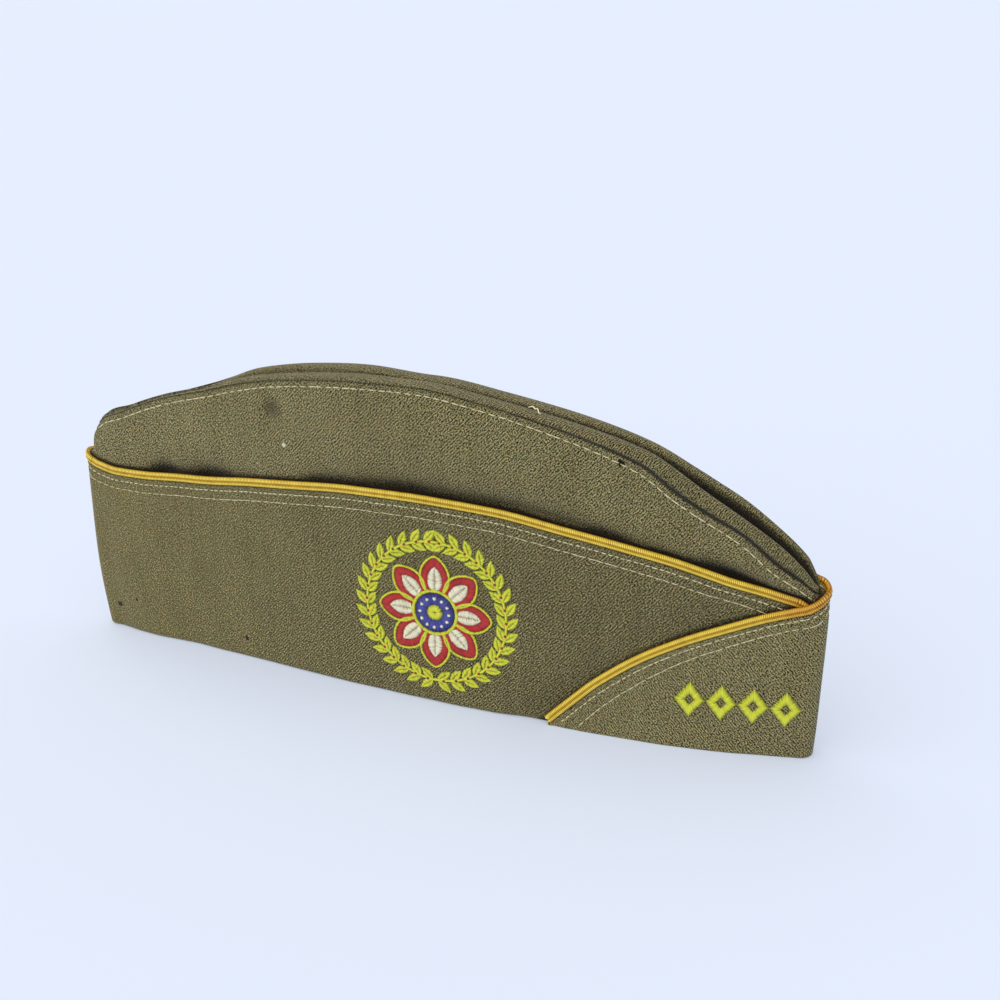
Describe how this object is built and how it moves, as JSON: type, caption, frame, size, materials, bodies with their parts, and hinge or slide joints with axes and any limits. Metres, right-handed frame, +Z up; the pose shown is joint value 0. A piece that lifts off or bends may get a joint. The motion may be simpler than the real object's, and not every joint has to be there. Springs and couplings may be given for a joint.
{
  "type": "garrison cap",
  "caption": "Flat folding wool serge cap with a turned-up curtain edged in gold braid, a diagonal lap, a round embroidered rosette and a row of embroidered lozenges.",
  "frame": {"origin": "on the surface that the rim rests on, under the middle of the cap", "axes": "+X to the front tip, +Y to the wearer's left, +Z up"},
  "size_m": [0.2942, 0.0304, 0.1226],
  "materials": {
    "serge": "olive drab wool serge with a fine diagonal twill and pale and dark flecks",
    "gold_braid": "gold soutache braid with fine cross ribs",
    "yellow_thread": "satin-stitched yellow-green embroidery thread",
    "red_thread": "satin-stitched red embroidery thread",
    "blue_thread": "satin-stitched blue embroidery thread",
    "cream_thread": "satin-stitched cream embroidery thread",
    "sewing_thread": "pale tan sewing thread"
  },
  "bodies": {
    "root": {"crown_side_right": "serge", "crown_side_left": "serge", "crown_top": "serge", "curtain_right": "serge", "curtain_left": "serge", "braid_right": "gold_braid", "braid_left": "gold_braid", "badge_wreath": "yellow_thread", "badge_petals": "red_thread", "badge_center": "blue_thread", "lozenge_1": "yellow_thread", "lozenge_2": "yellow_thread", "lozenge_3": "yellow_thread", "lozenge_4": "yellow_thread"}
  },
  "joints": []
}
